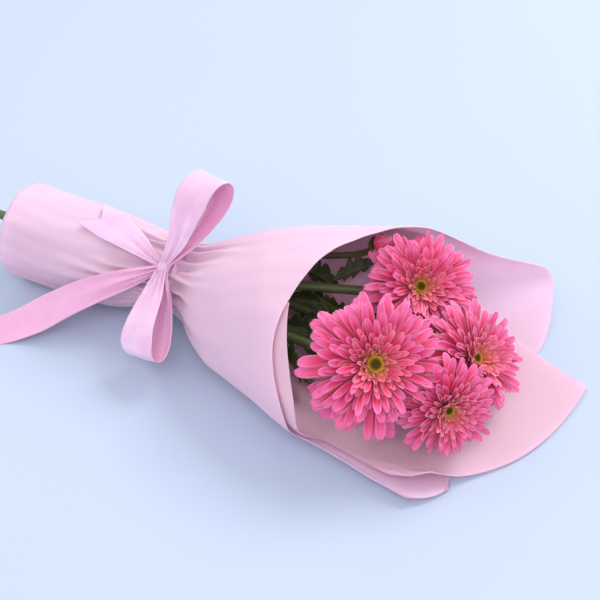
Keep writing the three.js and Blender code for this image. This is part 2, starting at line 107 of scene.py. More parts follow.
# Ribbon
RIBBON_THICKNESS = 0.35 * MM
KNOT_REACH = 9 * MM  # how near the knot the ribbon is drawn in
KNOT_RISE = 1.5 * MM  # how far the drawn-in ends stand out from the knot's middle
TAIL_FULLNESS = 1.14  # a tail's width over its CAD strip's
PLEAT_DEPTH = 1.3 * MM
TIGHT_PLEATS = 17 * MM  # how far narrow pleats and wide ones run from the knot
LOOSE_PLEATS = 48 * MM
RIBBON_WAVE = 0.35 * MM
TURN_PLEAT = 1.0 * MM
NOTCH_DEPTH = 9 * MM
LEAST_HEIGHT = 0.3 * MM  # over the floor

# Petals
PETAL_STEPS_ALONG = 10
PETAL_STEPS_ACROSS = 4
PETAL_THICKNESS = 0.25 * MM
PETAL_CROWDING = 1.5  # steps come closer together by the tip
TIP_START = 0.82  # share of the length where a petal begins to round off
LAYER_STEP = 0.42 * MM  # each ring of petals stands this much over the one outside it

# Discs
FLORETS = 130
FLORET_SIDES = 6

# Leaves
LEAF_LOBES = 4.0
LEAF_FULLNESS = 1.3  # a leaf's half width over its CAD blade's
LEAF_THICKNESS = 0.3 * MM

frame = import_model()
nodes = frame["nodes"]


# Small helpers


def smoothstep(low, high, value):
    t = np.clip((value - low) / (high - low), 0.0, 1.0)
    return t * t * (3 - 2 * t)


def mix(a, b, t):
    return a + (b - a) * t


def vertices_of(node):
    mesh = nodes[node].data
    places = np.empty(3 * len(mesh.vertices))
    mesh.vertices.foreach_get("co", places)
    return places.reshape(-1, 3)


def new_object(name, mesh, material, node):
    """Adds a mesh to the scene as the piece that stands for a CAD node."""
    thing = bpy.data.objects.new(name, mesh)
    bpy.context.scene.collection.objects.link(thing)
    mesh.materials.append(material)
    mesh.polygons.foreach_set("use_smooth", [True] * len(mesh.polygons))
    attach(thing, "root")
    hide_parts(node)
    return thing


def mesh_from(name, points, faces, attributes=None):
    mesh = bpy.data.meshes.new(name)
    mesh.from_pydata([tuple(p) for p in points], [], faces)
    for key, values in (attributes or {}).items():
        layer = mesh.attributes.new(key, "FLOAT", "POINT")
        layer.data.foreach_set("value", np.asarray(values, dtype=np.float32))
    mesh.validate()
    mesh.update()
    return mesh


class Patches:
    """Gathers many small grids of points into one mesh, each grid closed into a thin solid."""

    def __init__(self):
        self.points = []
        self.faces = []
        self.attributes = {}

    def add(self, upper, lower, **values):
        """Adds one grid, with its upper and lower side as rows of points.

        Each named value gives one number a point, the same for both sides. "reverse" is 1 on the lower side.
        """
        rows, columns = len(upper), len(upper[0])
        base = len(self.points)
        for side in (upper, lower):
            for row in side:
                self.points.extend(row)
        count = rows * columns
        for key, grid in values.items():
            flat = [v for row in grid for v in row]
            self.attributes.setdefault(key, []).extend(flat + flat)
        self.attributes.setdefault("reverse", []).extend([0.0] * count + [1.0] * count)

        def at(side, i, j):
            return base + side * count + i * columns + j

        for i in range(rows - 1):
            for j in range(columns - 1):
                self.faces.append((at(0, i, j), at(0, i, j + 1), at(0, i + 1, j + 1), at(0, i + 1, j)))
                self.faces.append((at(1, i, j), at(1, i + 1, j), at(1, i + 1, j + 1), at(1, i, j + 1)))
        for i in range(rows - 1):
            last = columns - 1
            self.faces.append((at(0, i, 0), at(0, i + 1, 0), at(1, i + 1, 0), at(1, i, 0)))
            self.faces.append((at(0, i, last), at(1, i, last), at(1, i + 1, last), at(0, i + 1, last)))
        for j in range(columns - 1):
            last = rows - 1
            self.faces.append((at(0, 0, j), at(1, 0, j), at(1, 0, j + 1), at(0, 0, j + 1)))
            self.faces.append((at(0, last, j), at(0, last, j + 1), at(1, last, j + 1), at(1, last, j)))

    def mesh(self, name):
        return mesh_from(name, self.points, self.faces, self.attributes)


# Materials


class Shader:
    """A small wrapper that adds nodes to one material and joins them."""

    def __init__(self, name):
        self.material = bpy.data.materials.new(name)
        self.material.use_nodes = True
        self.tree = self.material.node_tree
        self.surface = self.tree.nodes["Principled BSDF"]

    def add(self, kind, **settings):
        node = self.tree.nodes.new(kind)
        for key, value in settings.items():
            if key.startswith("in_"):
                node.inputs[key[3:].replace("_", " ")].default_value = value
            else:
                setattr(node, key, value)
        return node

    def join(self, out_socket, in_socket):
        self.tree.links.new(out_socket, in_socket)

    def coordinates(self):
        return self.add("ShaderNodeTexCoord").outputs["Object"]

    def attribute(self, name):
        return self.add("ShaderNodeAttribute", attribute_name=name).outputs["Fac"]

    def noise(self, scale, detail=3.0, roughness=0.5, vector=None):
        node = self.add("ShaderNodeTexNoise", in_Scale=scale, in_Detail=detail, in_Roughness=roughness)
        self.join(vector or self.coordinates(), node.inputs["Vector"])
        return node.outputs["Fac"]

    def stretched(self, factors):
        node = self.add("ShaderNodeMapping", in_Scale=factors)
        self.join(self.coordinates(), node.inputs["Vector"])
        return node.outputs["Vector"]

    def ramp(self, factor, stops):
        node = self.add("ShaderNodeValToRGB")
        node.color_ramp.interpolation = "EASE"
        elements = node.color_ramp.elements
        while len(elements) < len(stops):
            elements.new(0.5)
        for element, (place, colour) in zip(elements, stops):
            element.position = place
            element.color = (*colour, 1.0)
        self.join(factor, node.inputs["Fac"])
        return node.outputs["Color"]

    def blend(self, factor, a, b, kind="MIX"):
        node = self.add("ShaderNodeMix", data_type="RGBA", blend_type=kind)
        for value, socket in ((factor, node.inputs[0]), (a, node.inputs[6]), (b, node.inputs[7])):
            if isinstance(value, bpy.types.NodeSocket):
                self.join(value, socket)
            else:
                socket.default_value = value if isinstance(value, float) else (*value, 1.0)
        return node.outputs[2]

    def maths(self, operation, a, b=0.0):
        node = self.add("ShaderNodeMath", operation=operation)
        for value, socket in ((a, node.inputs[0]), (b, node.inputs[1])):
            if isinstance(value, bpy.types.NodeSocket):
                self.join(value, socket)
            else:
                socket.default_value = value
        return node.outputs[0]

    def bump(self, height, distance, strength=1.0, after=None):
        node = self.add("ShaderNodeBump", in_Distance=distance, in_Strength=strength)
        self.join(height, node.inputs["Height"])
        if after:
            self.join(after, node.inputs["Normal"])
        return node.outputs["Normal"]

    def finish(self, colour, roughness, normal=None, **constants):
        self.join(colour, self.surface.inputs["Base Color"])
        if isinstance(roughness, bpy.types.NodeSocket):
            self.join(roughness, self.surface.inputs["Roughness"])
        else:
            self.surface.inputs["Roughness"].default_value = roughness
        if normal:
            self.join(normal, self.surface.inputs["Normal"])
        for key, value in constants.items():
            self.surface.inputs[key.replace("_", " ")].default_value = value
        return self.material


def wrap_material(name, pale, deep, glow):
    """Non-woven wrapping: felted fibres, faintly mottled and softly dented, and light glows through it."""
    s = Shader(name)
    cloud = s.noise(18, 4)
    fibres = s.noise(1400, 3, 0.7)
    long_fibres = s.noise(420, 4, 0.65, s.stretched((1.0, 3.5, 3.5)))
    dents = s.noise(42, 2, 0.45, s.stretched((0.55, 1.0, 1.0)))
    colour = s.blend(cloud, deep, pale)
    colour = s.blend(s.maths("MULTIPLY", long_fibres, 0.10), colour, (1.0, 0.90, 0.97))
    normal = s.bump(fibres, 0.12 * MM, 0.35)
    normal = s.bump(long_fibres, 0.25 * MM, 0.3, normal)
    normal = s.bump(dents, 3.2 * MM, 0.32, normal)
    return s.finish(
        colour,
        0.86,
        normal,
        Sheen_Weight=0.1,
        Sheen_Roughness=0.5,
        Subsurface_Weight=0.5,
        Subsurface_Scale=0.003,
        Subsurface_Radius=(1.0, 0.75, 0.9),
        Transmission_Weight=glow,
        IOR=1.25,
    )


def satin_material(name):
    """Satin ribbon: smooth, with a very fine ribbed weave across it, a deeper pink on its reverse and a faint
    painted highlight along both edges.
    """
    s = Shader(name)
    across = s.attribute("across")
    along = s.attribute("along")
    threads = s.maths("SINE", s.maths("MULTIPLY", along, 5200.0))
    soft = s.noise(60, 3)
    streaks = s.noise(500, 3, 0.6, s.stretched((0.25, 1.0, 1.0)))
    colour = s.ramp(soft, [(0.3, (0.80, 0.46, 0.67)), (0.7, (0.88, 0.55, 0.76))])
    colour = s.blend(s.maths("MULTIPLY", streaks, 0.2), colour, (0.90, 0.66, 0.84))
    # A thin paler line along both edges of the ribbon is a painted highlight.
    edge = s.maths("GREATER_THAN", s.maths("ABSOLUTE", across), 0.93)
    colour = s.blend(s.maths("MULTIPLY", edge, 0.12), colour, (0.92, 0.68, 0.85))
    colour = s.blend(s.maths("MULTIPLY", s.attribute("reverse"), 0.55), colour, (0.85, 0.34, 0.57))
    normal = s.bump(threads, 0.03 * MM, 0.3)
    normal = s.bump(soft, 0.6 * MM, 0.35, normal)
    return s.finish(
        colour,
        0.26,
        normal,
        Sheen_Weight=0.4,
        Sheen_Roughness=0.35,
        Coat_Weight=0.35,
        Coat_Roughness=0.18,
        Anisotropic=0.5,
        Subsurface_Weight=0.1,
        Subsurface_Scale=0.003,
        Transmission_Weight=0.15,
        IOR=1.3,
    )


def petal_material(name, foot, middle, tip, edge):
    """Petals: darker at the foot, in their own colour and in painted shade where they crowd together, paler
    by the tip and along both edges, with fine lengthwise veins.
    """
    s = Shader(name)
    along = s.attribute("along")
    across = s.maths("ABSOLUTE", s.attribute("across"))
    tint = s.attribute("tint")
    # The dark foot is partly the petal's own colour and partly painted shade deep in the head.
    colour = s.ramp(along, [(0.0, foot), (0.34, middle), (0.66, middle), (1.0, tip)])
    rim = s.maths("POWER", across, 5.0)
    colour = s.blend(s.maths("MULTIPLY", rim, 0.42), colour, edge)
    veins = s.maths("SINE", s.maths("MULTIPLY", s.attribute("across"), 21.0))
    colour = s.blend(s.maths("MULTIPLY", s.maths("ADD", veins, 1.0), 0.05), colour, edge)
    mottle = s.noise(260, 3)
    # The darker tint is a random tone per petal, plus painted shade on heads that lie in the wrapping's
    # shade.
    shade = s.maths("ADD", s.maths("MULTIPLY", tint, 0.38), s.maths("MULTIPLY", mottle, 0.10))
    colour = s.blend(shade, colour, (0.82, 0.42, 0.62), "MULTIPLY")
    colour = s.blend(s.attribute("heart"), colour, (0.90, 0.42, 0.07))
    normal = s.bump(veins, 0.12 * MM, 0.5)
    return s.finish(
        colour,
        0.48,
        normal,
        Subsurface_Weight=0.22,
        Subsurface_Scale=0.002,
        Sheen_Weight=0.12,
        Coat_Weight=0.12,
    )


def disc_material(name):
    """Disc florets: dark olive in the middle, golden round the outside."""
    s = Shader(name)
    ripe = s.attribute("along")
    stops = [(0.0, (0.018, 0.016, 0.002)), (0.45, (0.07, 0.065, 0.006)), (0.9, (0.70, 0.38, 0.05))]
    colour = s.ramp(ripe, stops)
    speckle = s.noise(1800, 2)
    colour = s.blend(s.maths("MULTIPLY", speckle, 0.12), colour, (0.50, 0.36, 0.06))
    normal = s.bump(speckle, 0.1 * MM, 0.5)
    return s.finish(colour, 0.7, normal, Specular_IOR_Level=0.15)


def green_material(name, pale, deep, scale):
    """Stems and calyxes: green, streaked lengthwise."""
    s = Shader(name)
    cloud = s.noise(scale, 4)
    streaks = s.noise(300, 3, 0.6, s.stretched((0.12, 1.0, 1.0)))
    colour = s.ramp(cloud, [(0.3, deep), (0.7, pale)])
    colour = s.blend(s.maths("MULTIPLY", streaks, 0.22), colour, (0.20, 0.26, 0.09))
    normal = s.bump(streaks, 0.3 * MM, 0.5)
    return s.finish(colour, 0.5, normal, Subsurface_Weight=0.05, Subsurface_Scale=0.001)


def leaf_material(name):
    """Leaves: dark green with paler veins, which follow the blade's own along and across."""
    s = Shader(name)
    vein = s.attribute("vein")
    cloud = s.noise(90, 4)
    colour = s.ramp(cloud, [(0.3, (0.020, 0.040, 0.008)), (0.7, (0.050, 0.085, 0.018))])
    colour = s.blend(s.maths("MULTIPLY", vein, 0.6), colour, (0.14, 0.19, 0.06))
    normal = s.bump(s.noise(500, 3), 0.2 * MM, 0.4)
    return s.finish(colour, 0.5, normal, Subsurface_Weight=0.05, Subsurface_Scale=0.001)


outer_wrap = wrap_material("outer_wrap", (0.95, 0.61, 0.81), (0.91, 0.52, 0.73), 0.22)
inner_wrap = wrap_material("inner_wrap", (0.99, 0.64, 0.80), (0.97, 0.56, 0.73), 0.36)
satin = satin_material("ribbon_satin")
pink_petals = petal_material(
    "petals", (0.30, 0.002, 0.03), (0.78, 0.018, 0.145), (0.95, 0.15, 0.42), (0.98, 0.52, 0.76)
)
salmon_petals = petal_material(
    "inner_petals", (0.42, 0.006, 0.04), (0.86, 0.030, 0.14), (0.96, 0.19, 0.35), (0.98, 0.52, 0.66)
)
disc_look = disc_material("flower_disc")
stem_look = green_material("green_stems", (0.085, 0.115, 0.030), (0.035, 0.050, 0.012), 60)
leaf_look = leaf_material("leaves")


# Pieces that keep their CAD node's shape


def quads_of(node, sharp_angle, sharpness):
    """A node's mesh, welded and joined into quads, with its sharp edges marked for the subdivision."""
    mesh = nodes[node].data.copy()
    build = bmesh.new()
    build.from_mesh(mesh)
    bmesh.ops.remove_doubles(build, verts=build.verts, dist=WELD)
    bmesh.ops.join_triangles(
        build,
        faces=build.faces,
        angle_face_threshold=QUAD_FACE_ANGLE,
        angle_shape_threshold=QUAD_SHAPE_ANGLE,
    )
    crease = build.edges.layers.float.new("crease_edge")
    for edge in build.edges:
        if len(edge.link_faces) == 2 and edge.calc_face_angle() > sharp_angle:
            edge[crease] = sharpness
    return mesh, build, crease


def subdivided(name, mesh, build, levels):
    """The edited mesh after so many rounds of subdivision."""
    build.to_mesh(mesh)
    build.free()
    mesh.materials.clear()
    temporary = bpy.data.objects.new(name + "_source", mesh)
    bpy.context.scene.collection.objects.link(temporary)
    subdivide = temporary.modifiers.new("smooth", "SUBSURF")
    subdivide.levels = subdivide.render_levels = levels
    made = bpy.data.meshes.new_from_object(temporary.evaluated_get(bpy.context.evaluated_depsgraph_get()))
    bpy.data.objects.remove(temporary)
    return made


def smoothed_copy(name, node, material):
    """A CAD node's own shape, rounded by subdivision."""
    mesh, build, _ = quads_of(node, 1.2, 0.8)
    return new_object(name, subdivided(name, mesh, build, 2), material, node)


# Wrapping


def middle_line(node, slices=14):
    """The middle of a sheet's section at places along X, and its least and greatest y and z there."""
    places = vertices_of(node)
    low, high = places[:, 0].min(), places[:, 0].max()
    rows = []
    for k in range(slices):
        x = mix(low, high, (k + 0.5) / slices)
        near = places[np.abs(places[:, 0] - x) < (high - low) / slices]
        rows.append((x, (near[:, 1].min() + near[:, 1].max()) / 2, (near[:, 2].min() + near[:, 2].max()) / 2))
    return np.array(rows)


waist_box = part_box("ribbon_band")
waist_x = (waist_box[0].x + waist_box[1].x) / 2
roll_middle = middle_line("wrap_outer_sheet")


def fan(ahead, seeds):
    """Creases that fan out from the ribbon on one side: each one's angle, drift, length, depth and width."""
    rows = []
    for k in range(CREASES):
        angle = 2 * math.pi * (k + seeds.uniform(-0.36, 0.36)) / CREASES - math.pi
        long = seeds.uniform(26, 62) * MM if seeds.random() < 0.7 else seeds.uniform(62, 100) * MM
        depth = CREASE_DEPTH * seeds.uniform(0.35, 1.0)
        drift = seeds.uniform(-2.2, 2.2)
        width = seeds.uniform(0.7, 1.3)
        rows.append((angle, drift, long * (0.7 if ahead else 0.9), depth, width))
    return rows


FANS = {True: fan(True, random.Random(23)), False: fan(False, random.Random(31))}


def folds(places):
    """How each place on the wrapping moves out from the roll's middle, for gathers and creases."""
    x, y, z = places[:, 0], places[:, 1], places[:, 2]
    middle_y = np.interp(x, roll_middle[:, 0], roll_middle[:, 1])
    middle_z = np.interp(x, roll_middle[:, 0], roll_middle[:, 2])
    angle = np.arctan2(z - middle_z, y - middle_y)
    away = np.abs(x - waist_x)
    radius = ROLL_RADIUS + ROLL_GROWTH * away
    wander = 0.35 * np.sin(2 * angle + 1.0) + 0.25 * np.sin(3 * angle + 2.6)
    gathers = np.sin(FOLDS_ROUND * angle + 2.2 * wander)
    depth = GATHER_DEPTH * np.exp(-((away / GATHER_REACH) ** 2)) * np.sign(gathers) * np.abs(gathers) ** 0.7
    for ahead, rows in FANS.items():
        on_side = x > waist_x if ahead else x <= waist_x
        for place, drift, long, deep, wide in rows:
            apart = np.angle(np.exp(1j * (angle - place - drift * away))) * radius
            width = CREASE_WIDTH * wide * (0.55 + away / CREASE_WIDENING)
            fade = smoothstep(3 * MM, 11 * MM, away) * (1 - smoothstep(0.15 * long, long, away))
            trough = np.exp(-np.abs(apart) / width)
            banks = 0.55 * np.exp(-(((np.abs(apart) - 1.9 * width) / width) ** 2))
            depth -= np.where(on_side, deep * fade * (trough - banks), 0.0)
    depth += SLOW_WAVE * np.sin(38 * x + 3 * angle) * np.sin(5 * angle + 20 * x)
    depth += QUICK_WAVE * np.sin(95 * x + 7 * angle + 2 * np.sin(60 * x)) * np.sin(11 * angle - 50 * x)
    clear = smoothstep(FLAT_BELOW, FOLDED_ABOVE, z)
    out = np.stack([np.zeros_like(x), np.cos(angle), np.sin(angle)], axis=1)
    return out * (depth * clear)[:, None]


def keep_corners(build, creases):
    """Keeps a sheet's sharp corners, where its rim turns suddenly, through the subdivision."""
    layer = build.verts.layers.float.new("crease_vert")
    for vertex in build.verts:
        rim = [e for e in vertex.link_edges if e[creases] > 0 and e.calc_length() > RIM_STEP]
        if len(rim) != 2:
            continue
        a, b = (e.other_vert(vertex).co - vertex.co for e in rim)
        if math.pi - a.angle(b) > SHARP_CORNER:
            vertex[layer] = 1.0


def thinned(build):
    """Draws the two faces of a CAD sheet together, to the thickness of real wrapping."""
    tree = KDTree(len(build.verts))
    for index, vertex in enumerate(build.verts):
        tree.insert(vertex.co, index)
    tree.balance()
    moves = []
    for index, vertex in enumerate(build.verts):
        found = tree.find_range(vertex.co, CAD_SHEET_REACH)
        near = [(gap, place) for place, other, gap in found if other != index]
        if not near:
            continue
        gap, place = min(near, key=lambda pair: pair[0])
        if gap > SHEET_THICKNESS:
            moves.append((vertex, (place - vertex.co) * (0.5 * (1 - SHEET_THICKNESS / gap))))
    for vertex, move in moves:
        vertex.co += move


def sheet(name, node, material):
    """A wrapping sheet: the CAD sheet's own shape, subdivided and then gathered and creased."""
    mesh, build, crease = quads_of(node, SHARP_EDGE, 1.0)
    keep_corners(build, crease)
    thinned(build)
    made = subdivided(name, mesh, build, SHEET_LEVELS)
    places = np.empty(3 * len(made.vertices))
    made.vertices.foreach_get("co", places)
    places = places.reshape(-1, 3)
    places += folds(places)
    made.vertices.foreach_set("co", places.ravel())
    made.update()
    return new_object(name, made, material, node)


# Ribbon


def strip_rails(node):
    """The two long edges of a flat CAD strip, as matching lists of points from end to end."""
    build = bmesh.new()
    build.from_mesh(nodes[node].data)
    bmesh.ops.remove_doubles(build, verts=build.verts, dist=WELD)
    sharp = {}
    for edge in build.edges:
        if len(edge.link_faces) == 2 and edge.calc_face_angle() > SHARP_EDGE:
            for v in edge.verts:
                sharp.setdefault(v, []).append(edge.other_vert(v))
    corners = [v for v, others in sharp.items() if len(others) == 3]
    walks = {}
    for corner in corners:
        for step in sharp[corner]:
            line = [corner, step]
            while len(sharp[line[-1]]) == 2:
                line.append(next(v for v in sharp[line[-1]] if v is not line[-2]))
            walks.setdefault(corner, []).append(line)
    for lines in walks.values():
        lines.sort(key=len)  # through the thickness, across the width, along the strip
    first = corners[0]
    through, across = walks[first][0][-1], walks[first][1][-1]
    left = [walks[first][2], walks[through][2]]
    right = [walks[across][2], walks[walks[across][0][-1]][2]]

    def middle(pair):
        return [(a.co + b.co) / 2 for a, b in zip(*pair)]

    result = middle(left), middle(right)
    build.free()
    return result


def resampled(points, count):
    """Points evenly spaced in parameter along a smooth curve through the given ones."""
    places = np.array([tuple(p) for p in points])
    steps = np.concatenate([[0], np.cumsum(np.linalg.norm(np.diff(places, axis=0), axis=1))])
    steps /= steps[-1]
    result = []
    for t in np.linspace(0, 1, count):
        k = min(max(int(np.searchsorted(steps, t)) - 1, 0), len(places) - 2)
        s = (t - steps[k]) / (steps[k + 1] - steps[k])
        p0 = places[max(k - 1, 0)]
        p1, p2 = places[k], places[k + 1]
        p3 = places[min(k + 2, len(places) - 1)]
        bend_1 = (p2 - p0) / 2
        bend_2 = (p3 - p1) / 2
        result.append(
            (2 * s**3 - 3 * s**2 + 1) * p1
            + (s**3 - 2 * s**2 + s) * bend_1
            + (-2 * s**3 + 3 * s**2) * p2
            + (s**3 - s**2) * bend_2
        )
    return np.array(result)


def knot_place():
    """The middle of the knot, and the way it stands out from the roll."""
    middle = vertices_of("ribbon_knot").mean(axis=0)
    low, high = waist_box
    out = np.array([0.0, middle[1] - (low.y + high.y) / 2, middle[2] - (low.z + high.z) / 2])
    return middle, out / np.linalg.norm(out)


def drawn_in(both, half):
    """Draws a strip's first end in to the knot and gathers it narrow there."""
    middle, out = knot_place()
    away = np.concatenate([[0], np.cumsum(np.linalg.norm(np.diff(both, axis=0), axis=1))])
    near = np.exp(-((away / KNOT_REACH) ** 2))[:, None]
    goal = middle + out * KNOT_RISE + 0.12 * (both[0] - middle)
    return both + (goal - both[0]) * near, half * (1 - 0.5 * near)


def ribbon(name, node, is_loop, notch, seed, steps=90, columns=22):
    """A loop or tail of the bow: pleated where the knot draws it in, and flat further out."""
    left, right = strip_rails(node)
    both = resampled([(a + b) / 2 for a, b in zip(left, right)], steps)
    fullness = 1.0 if is_loop else TAIL_FULLNESS
    half = resampled([(b - a) / 2 for a, b in zip(left, right)], steps) * fullness
    if not is_loop:
        knot = (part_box("ribbon_knot")[0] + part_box("ribbon_knot")[1]) / 2
        if (Vector(both[0]) - knot).length > (Vector(both[-1]) - knot).length:
            both, half = both[::-1], half[::-1]
    both, half = drawn_in(both, half)
    if is_loop:
        both, half = drawn_in(both[::-1], half[::-1])
    tangents = np.gradient(both, axis=0)
    tangents /= np.linalg.norm(tangents, axis=1)[:, None]
    normals = np.cross(tangents, half)
    normals /= np.linalg.norm(normals, axis=1)[:, None]
    if is_loop and ((both.mean(axis=0) - both) * normals).sum() > 0:
        half, normals = -half, -normals  # the satin's reverse is on the inside of a loop
    length = np.linalg.norm(np.diff(both, axis=0), axis=1).sum()
    seeds = random.Random(seed)
    phase = seeds.uniform(0, 6)
    upper, lower, along, across = [], [], [], []
    for i in range(steps):
        row_up, row_down, row_along, row_across = [], [], [], []
        for j in range(columns + 1):
            s = mix(-1.0, 1.0, j / columns)
            end = 1.0 - (notch / length) * (1 - abs(s)) if notch else 1.0
            t = i / (steps - 1) * end
            place = t * (steps - 1)
            k = min(int(place), steps - 2)
            f = place - k
            middle = mix(both[k], both[k + 1], f)
            side = mix(half[k], half[k + 1], f)
            normal = mix(normals[k], normals[k + 1], f)
            from_knot = min(t, 1 - t) * length if is_loop else t * length
            tight = math.exp(-((from_knot / TIGHT_PLEATS) ** 2))
            loose = math.exp(-((from_knot / LOOSE_PLEATS) ** 2))
            pleat = math.cos(3.2 * math.pi * s + phase) * tight
            pleat += 0.55 * math.cos(1.7 * math.pi * s + phase + 1) * loose
            wave = RIBBON_WAVE * math.sin(9 * t + 2.3 * s + phase)
            offset = PLEAT_DEPTH * pleat + wave
            base = middle + side * s + normal * offset
            row_up.append(base + normal * RIBBON_THICKNESS / 2)
            row_down.append(base - normal * RIBBON_THICKNESS / 2)
            row_along.append(t * length)
            row_across.append(s)
        upper.append(row_up)
        lower.append(row_down)
        along.append(row_along)
        across.append(row_across)
    for grid in (upper, lower):
        for row in grid:
            for p in row:
                p[2] = max(p[2], LEAST_HEIGHT)
    patches = Patches()
    patches.add(upper, lower, along=along, across=across)
    return new_object(name, patches.mesh(name), satin, node)


def ribbon_band():
    """The turn of ribbon round the waist, pulled narrow into lengthwise pleats."""
    low, high = waist_box
    middle = (low + high) / 2
    radius = (high.y - low.y) / 2
    around, columns = 120, 40
    upper, lower, along, across = [], [], [], []
    for i in range(around + 1):
        turn = 2 * math.pi * i / around
        squeeze = 1 + 0.06 * math.sin(3 * turn)
        rows = [[], [], [], []]
        for j in range(columns + 1):
            s = mix(-1.0, 1.0, j / columns)
            pleat = TURN_PLEAT * math.cos(4 * math.pi * s + 0.9 * math.sin(2 * turn))
            edge = -0.8 * MM * abs(s) ** 6
            r = radius - 0.6 * MM + pleat + edge
            x = middle.x + s * squeeze * (high.x - low.x) / 2
            direction = np.array([0.0, math.cos(turn), math.sin(turn)])
            centre = np.array([x, middle.y, middle.z])
            rows[0].append(centre + direction * r)
            rows[1].append(centre + direction * (r - RIBBON_THICKNESS))
            rows[2].append(turn * radius)
            rows[3].append(s)
        upper.append(rows[0])
        lower.append(rows[1])
        along.append(rows[2])
        across.append(rows[3])
    patches = Patches()
    patches.add(upper, lower, along=along, across=across)
    return new_object("ribbon_turn", patches.mesh("ribbon_turn"), satin, "ribbon_band")


def ribbon_knot():
    """The knot: ribbon pulled over itself, with pleats that run the short way over it."""
    places = vertices_of("ribbon_knot")
    middle, out = knot_place()
    side = np.array([1.0, 0.0, 0.0])
    down = np.cross(out, side)
    shares = ((side, 0.50), (down, 0.62), (out, 0.78))
    sizes = [np.abs((places - middle) @ axis).max() * share for axis, share in shares]
    middle = middle + out * 1.2 * MM
    around, rings = 64, 48
    points, faces, along, across = [], [], [], []
    for i in range(rings + 1):
        polar = math.pi * i / rings
        for j in range(around):
            turn = 2 * math.pi * j / around
            # The pleats run round the "side" axis and press into the satin as deep grooves.
            u = math.cos(polar)
            r = math.sin(polar) ** 0.6
            groove = abs(math.sin(5.0 * u + 0.9 * math.sin(turn) + 0.4)) ** 0.6
            pleat = 0.70 + 0.30 * groove
            pinch = 1 - 0.22 * math.exp(-(((u - 0.1) / 0.3) ** 2))
            v = r * math.cos(turn) * (0.7 + 0.3 * pleat)
            w = r * math.sin(turn) * pleat * pinch
            points.append(middle + side * u * sizes[0] + down * v * sizes[1] + out * w * sizes[2])
            along.append(turn * sizes[1])
            across.append(u * 0.8)
    for i in range(rings):
        for j in range(around):
            a, b = i * around + j, i * around + (j + 1) % around
            faces.append((a, b, b + around, a + around))
    mesh = mesh_from("ribbon_knot_satin", points, faces, {"along": along, "across": across})
    build = bmesh.new()
    build.from_mesh(mesh)
    bmesh.ops.remove_doubles(build, verts=build.verts, dist=WELD)
    bmesh.ops.recalc_face_normals(build, faces=build.faces)
    build.to_mesh(mesh)
    build.free()
    return new_object("ribbon_knot_satin", mesh, satin, "ribbon_knot")


# Flowers


def basis(axis):
    """Two directions square to an axis and to each other."""
    helper = np.array([0.0, 0.0, 1.0]) if abs(axis[2]) < 0.9 else np.array([1.0, 0.0, 0.0])
    first = np.cross(helper, axis)
    first /= np.linalg.norm(first)
    return first, np.cross(axis, first)


def petal(patches, foot, out, up, across, length, width, rise, bend, cup, heart, shade, seeds):
    """One petal.

    "rise" is its slope at the foot and "bend" how much that changes by its tip, in degrees. "heart" is how
    golden it is, and "shade" the least share of the darker tint, which is painted shade on a head in the
    wrapping's shade.
    """
    tip_curl = seeds.uniform(-26, 26)
    twist = seeds.uniform(-0.5, 0.5)
    sway = seeds.uniform(-0.12, 0.12) * length
    # A random tone per petal, with painted shade as its least share on shaded heads.
    tint = mix(shade, 1.0, seeds.random())
    notch = seeds.uniform(0.0, 0.05)
    middle = foot.copy()
    upper, lower, along, sides, tints = [], [], [], [], []
    for i in range(PETAL_STEPS_ALONG + 1):
        before = 1 - (1 - max(i - 1, 0) / PETAL_STEPS_ALONG) ** PETAL_CROWDING
        t = 1 - (1 - i / PETAL_STEPS_ALONG) ** PETAL_CROWDING
        slope = math.radians(rise + bend * t + tip_curl * t**4)
        forward = out * math.cos(slope) + up * math.sin(slope)
        normal = up * math.cos(slope) - out * math.sin(slope)
        if i:
            middle = middle + forward * length * (t - before)
        swell = 0.30 + 0.70 * smoothstep(0.0, 0.74, t)
        tip = math.sqrt(max(0.0, 1 - (max(0.0, t - TIP_START) / 0.182) ** 2.2))
        half = 0.5 * width * float(swell) * tip
        turn = twist * t
        lateral = across * math.cos(turn) + normal * math.sin(turn)
        spine = middle + across * sway * t * t
        row_up, row_down, row_along, row_side, row_tint = [], [], [], [], []
        for j in range(PETAL_STEPS_ACROSS + 1):
            s = mix(-1.0, 1.0, j / PETAL_STEPS_ACROSS)
            channel = cup * half * (s * s) * (1 - 0.35 * t)
            base = spine + lateral * s * half + normal * channel
            base = base - forward * notch * length * (1 - abs(s)) * t**8
            row_up.append(base)
            row_down.append(base - normal * PETAL_THICKNESS)
            row_along.append(t)
            row_side.append(s)
            row_tint.append(tint)
        upper.append(row_up)
        lower.append(row_down)
        along.append(row_along)
        sides.append(row_side)
        tints.append(row_tint)
    gold = [[heart * (1 - 0.35 * v) for v in row] for row in along]
    patches.add(upper, lower, along=along, across=sides, tint=tints, heart=gold)


# Rings of petals from the outermost in: petals, length as a share of the head's radius, slope at the
# foot, bend by the tip, width as a share of the radius, depth of the channel.
OUTER_RINGS = [
    (14, 0.89, -8, -28, 0.195, 0.35),
    (19, 0.88, 4, -26, 0.165, 0.50),
    (23, 0.85, 14, -24, 0.142, 0.60),
]
MIDDLE_RINGS = [
    (27, 0.80, 24, -22, 0.126, 0.75),
    (28, 0.72, 33, -18, 0.112, 0.85),
    (28, 0.62, 43, -14, 0.100, 0.9),
]
INNER_RINGS = [
    (27, 0.51, 48, -10, 0.088, 0.9),
    (26, 0.41, 54, -8, 0.076, 0.9),
    (24, 0.31, 60, -4, 0.062, 0.9),
    (24, 0.21, 66, 0, 0.046, 0.9),
]
HEAD_FULLNESS = {"front": 1.0, "top": 1.08, "right": 1.14, "low": 1.06}  # over the CAD whorl's radius
HEAD_PAINTED_SHADE = {"front": 0.6, "top": 0.0, "right": 0.0, "low": 0.15}  # painted shade: the least of a head's darker tint, larger for heads in the wrapping's shade
DISC_SHARE = 0.62  # the disc left bare by the inner petals, as a share of the CAD disc


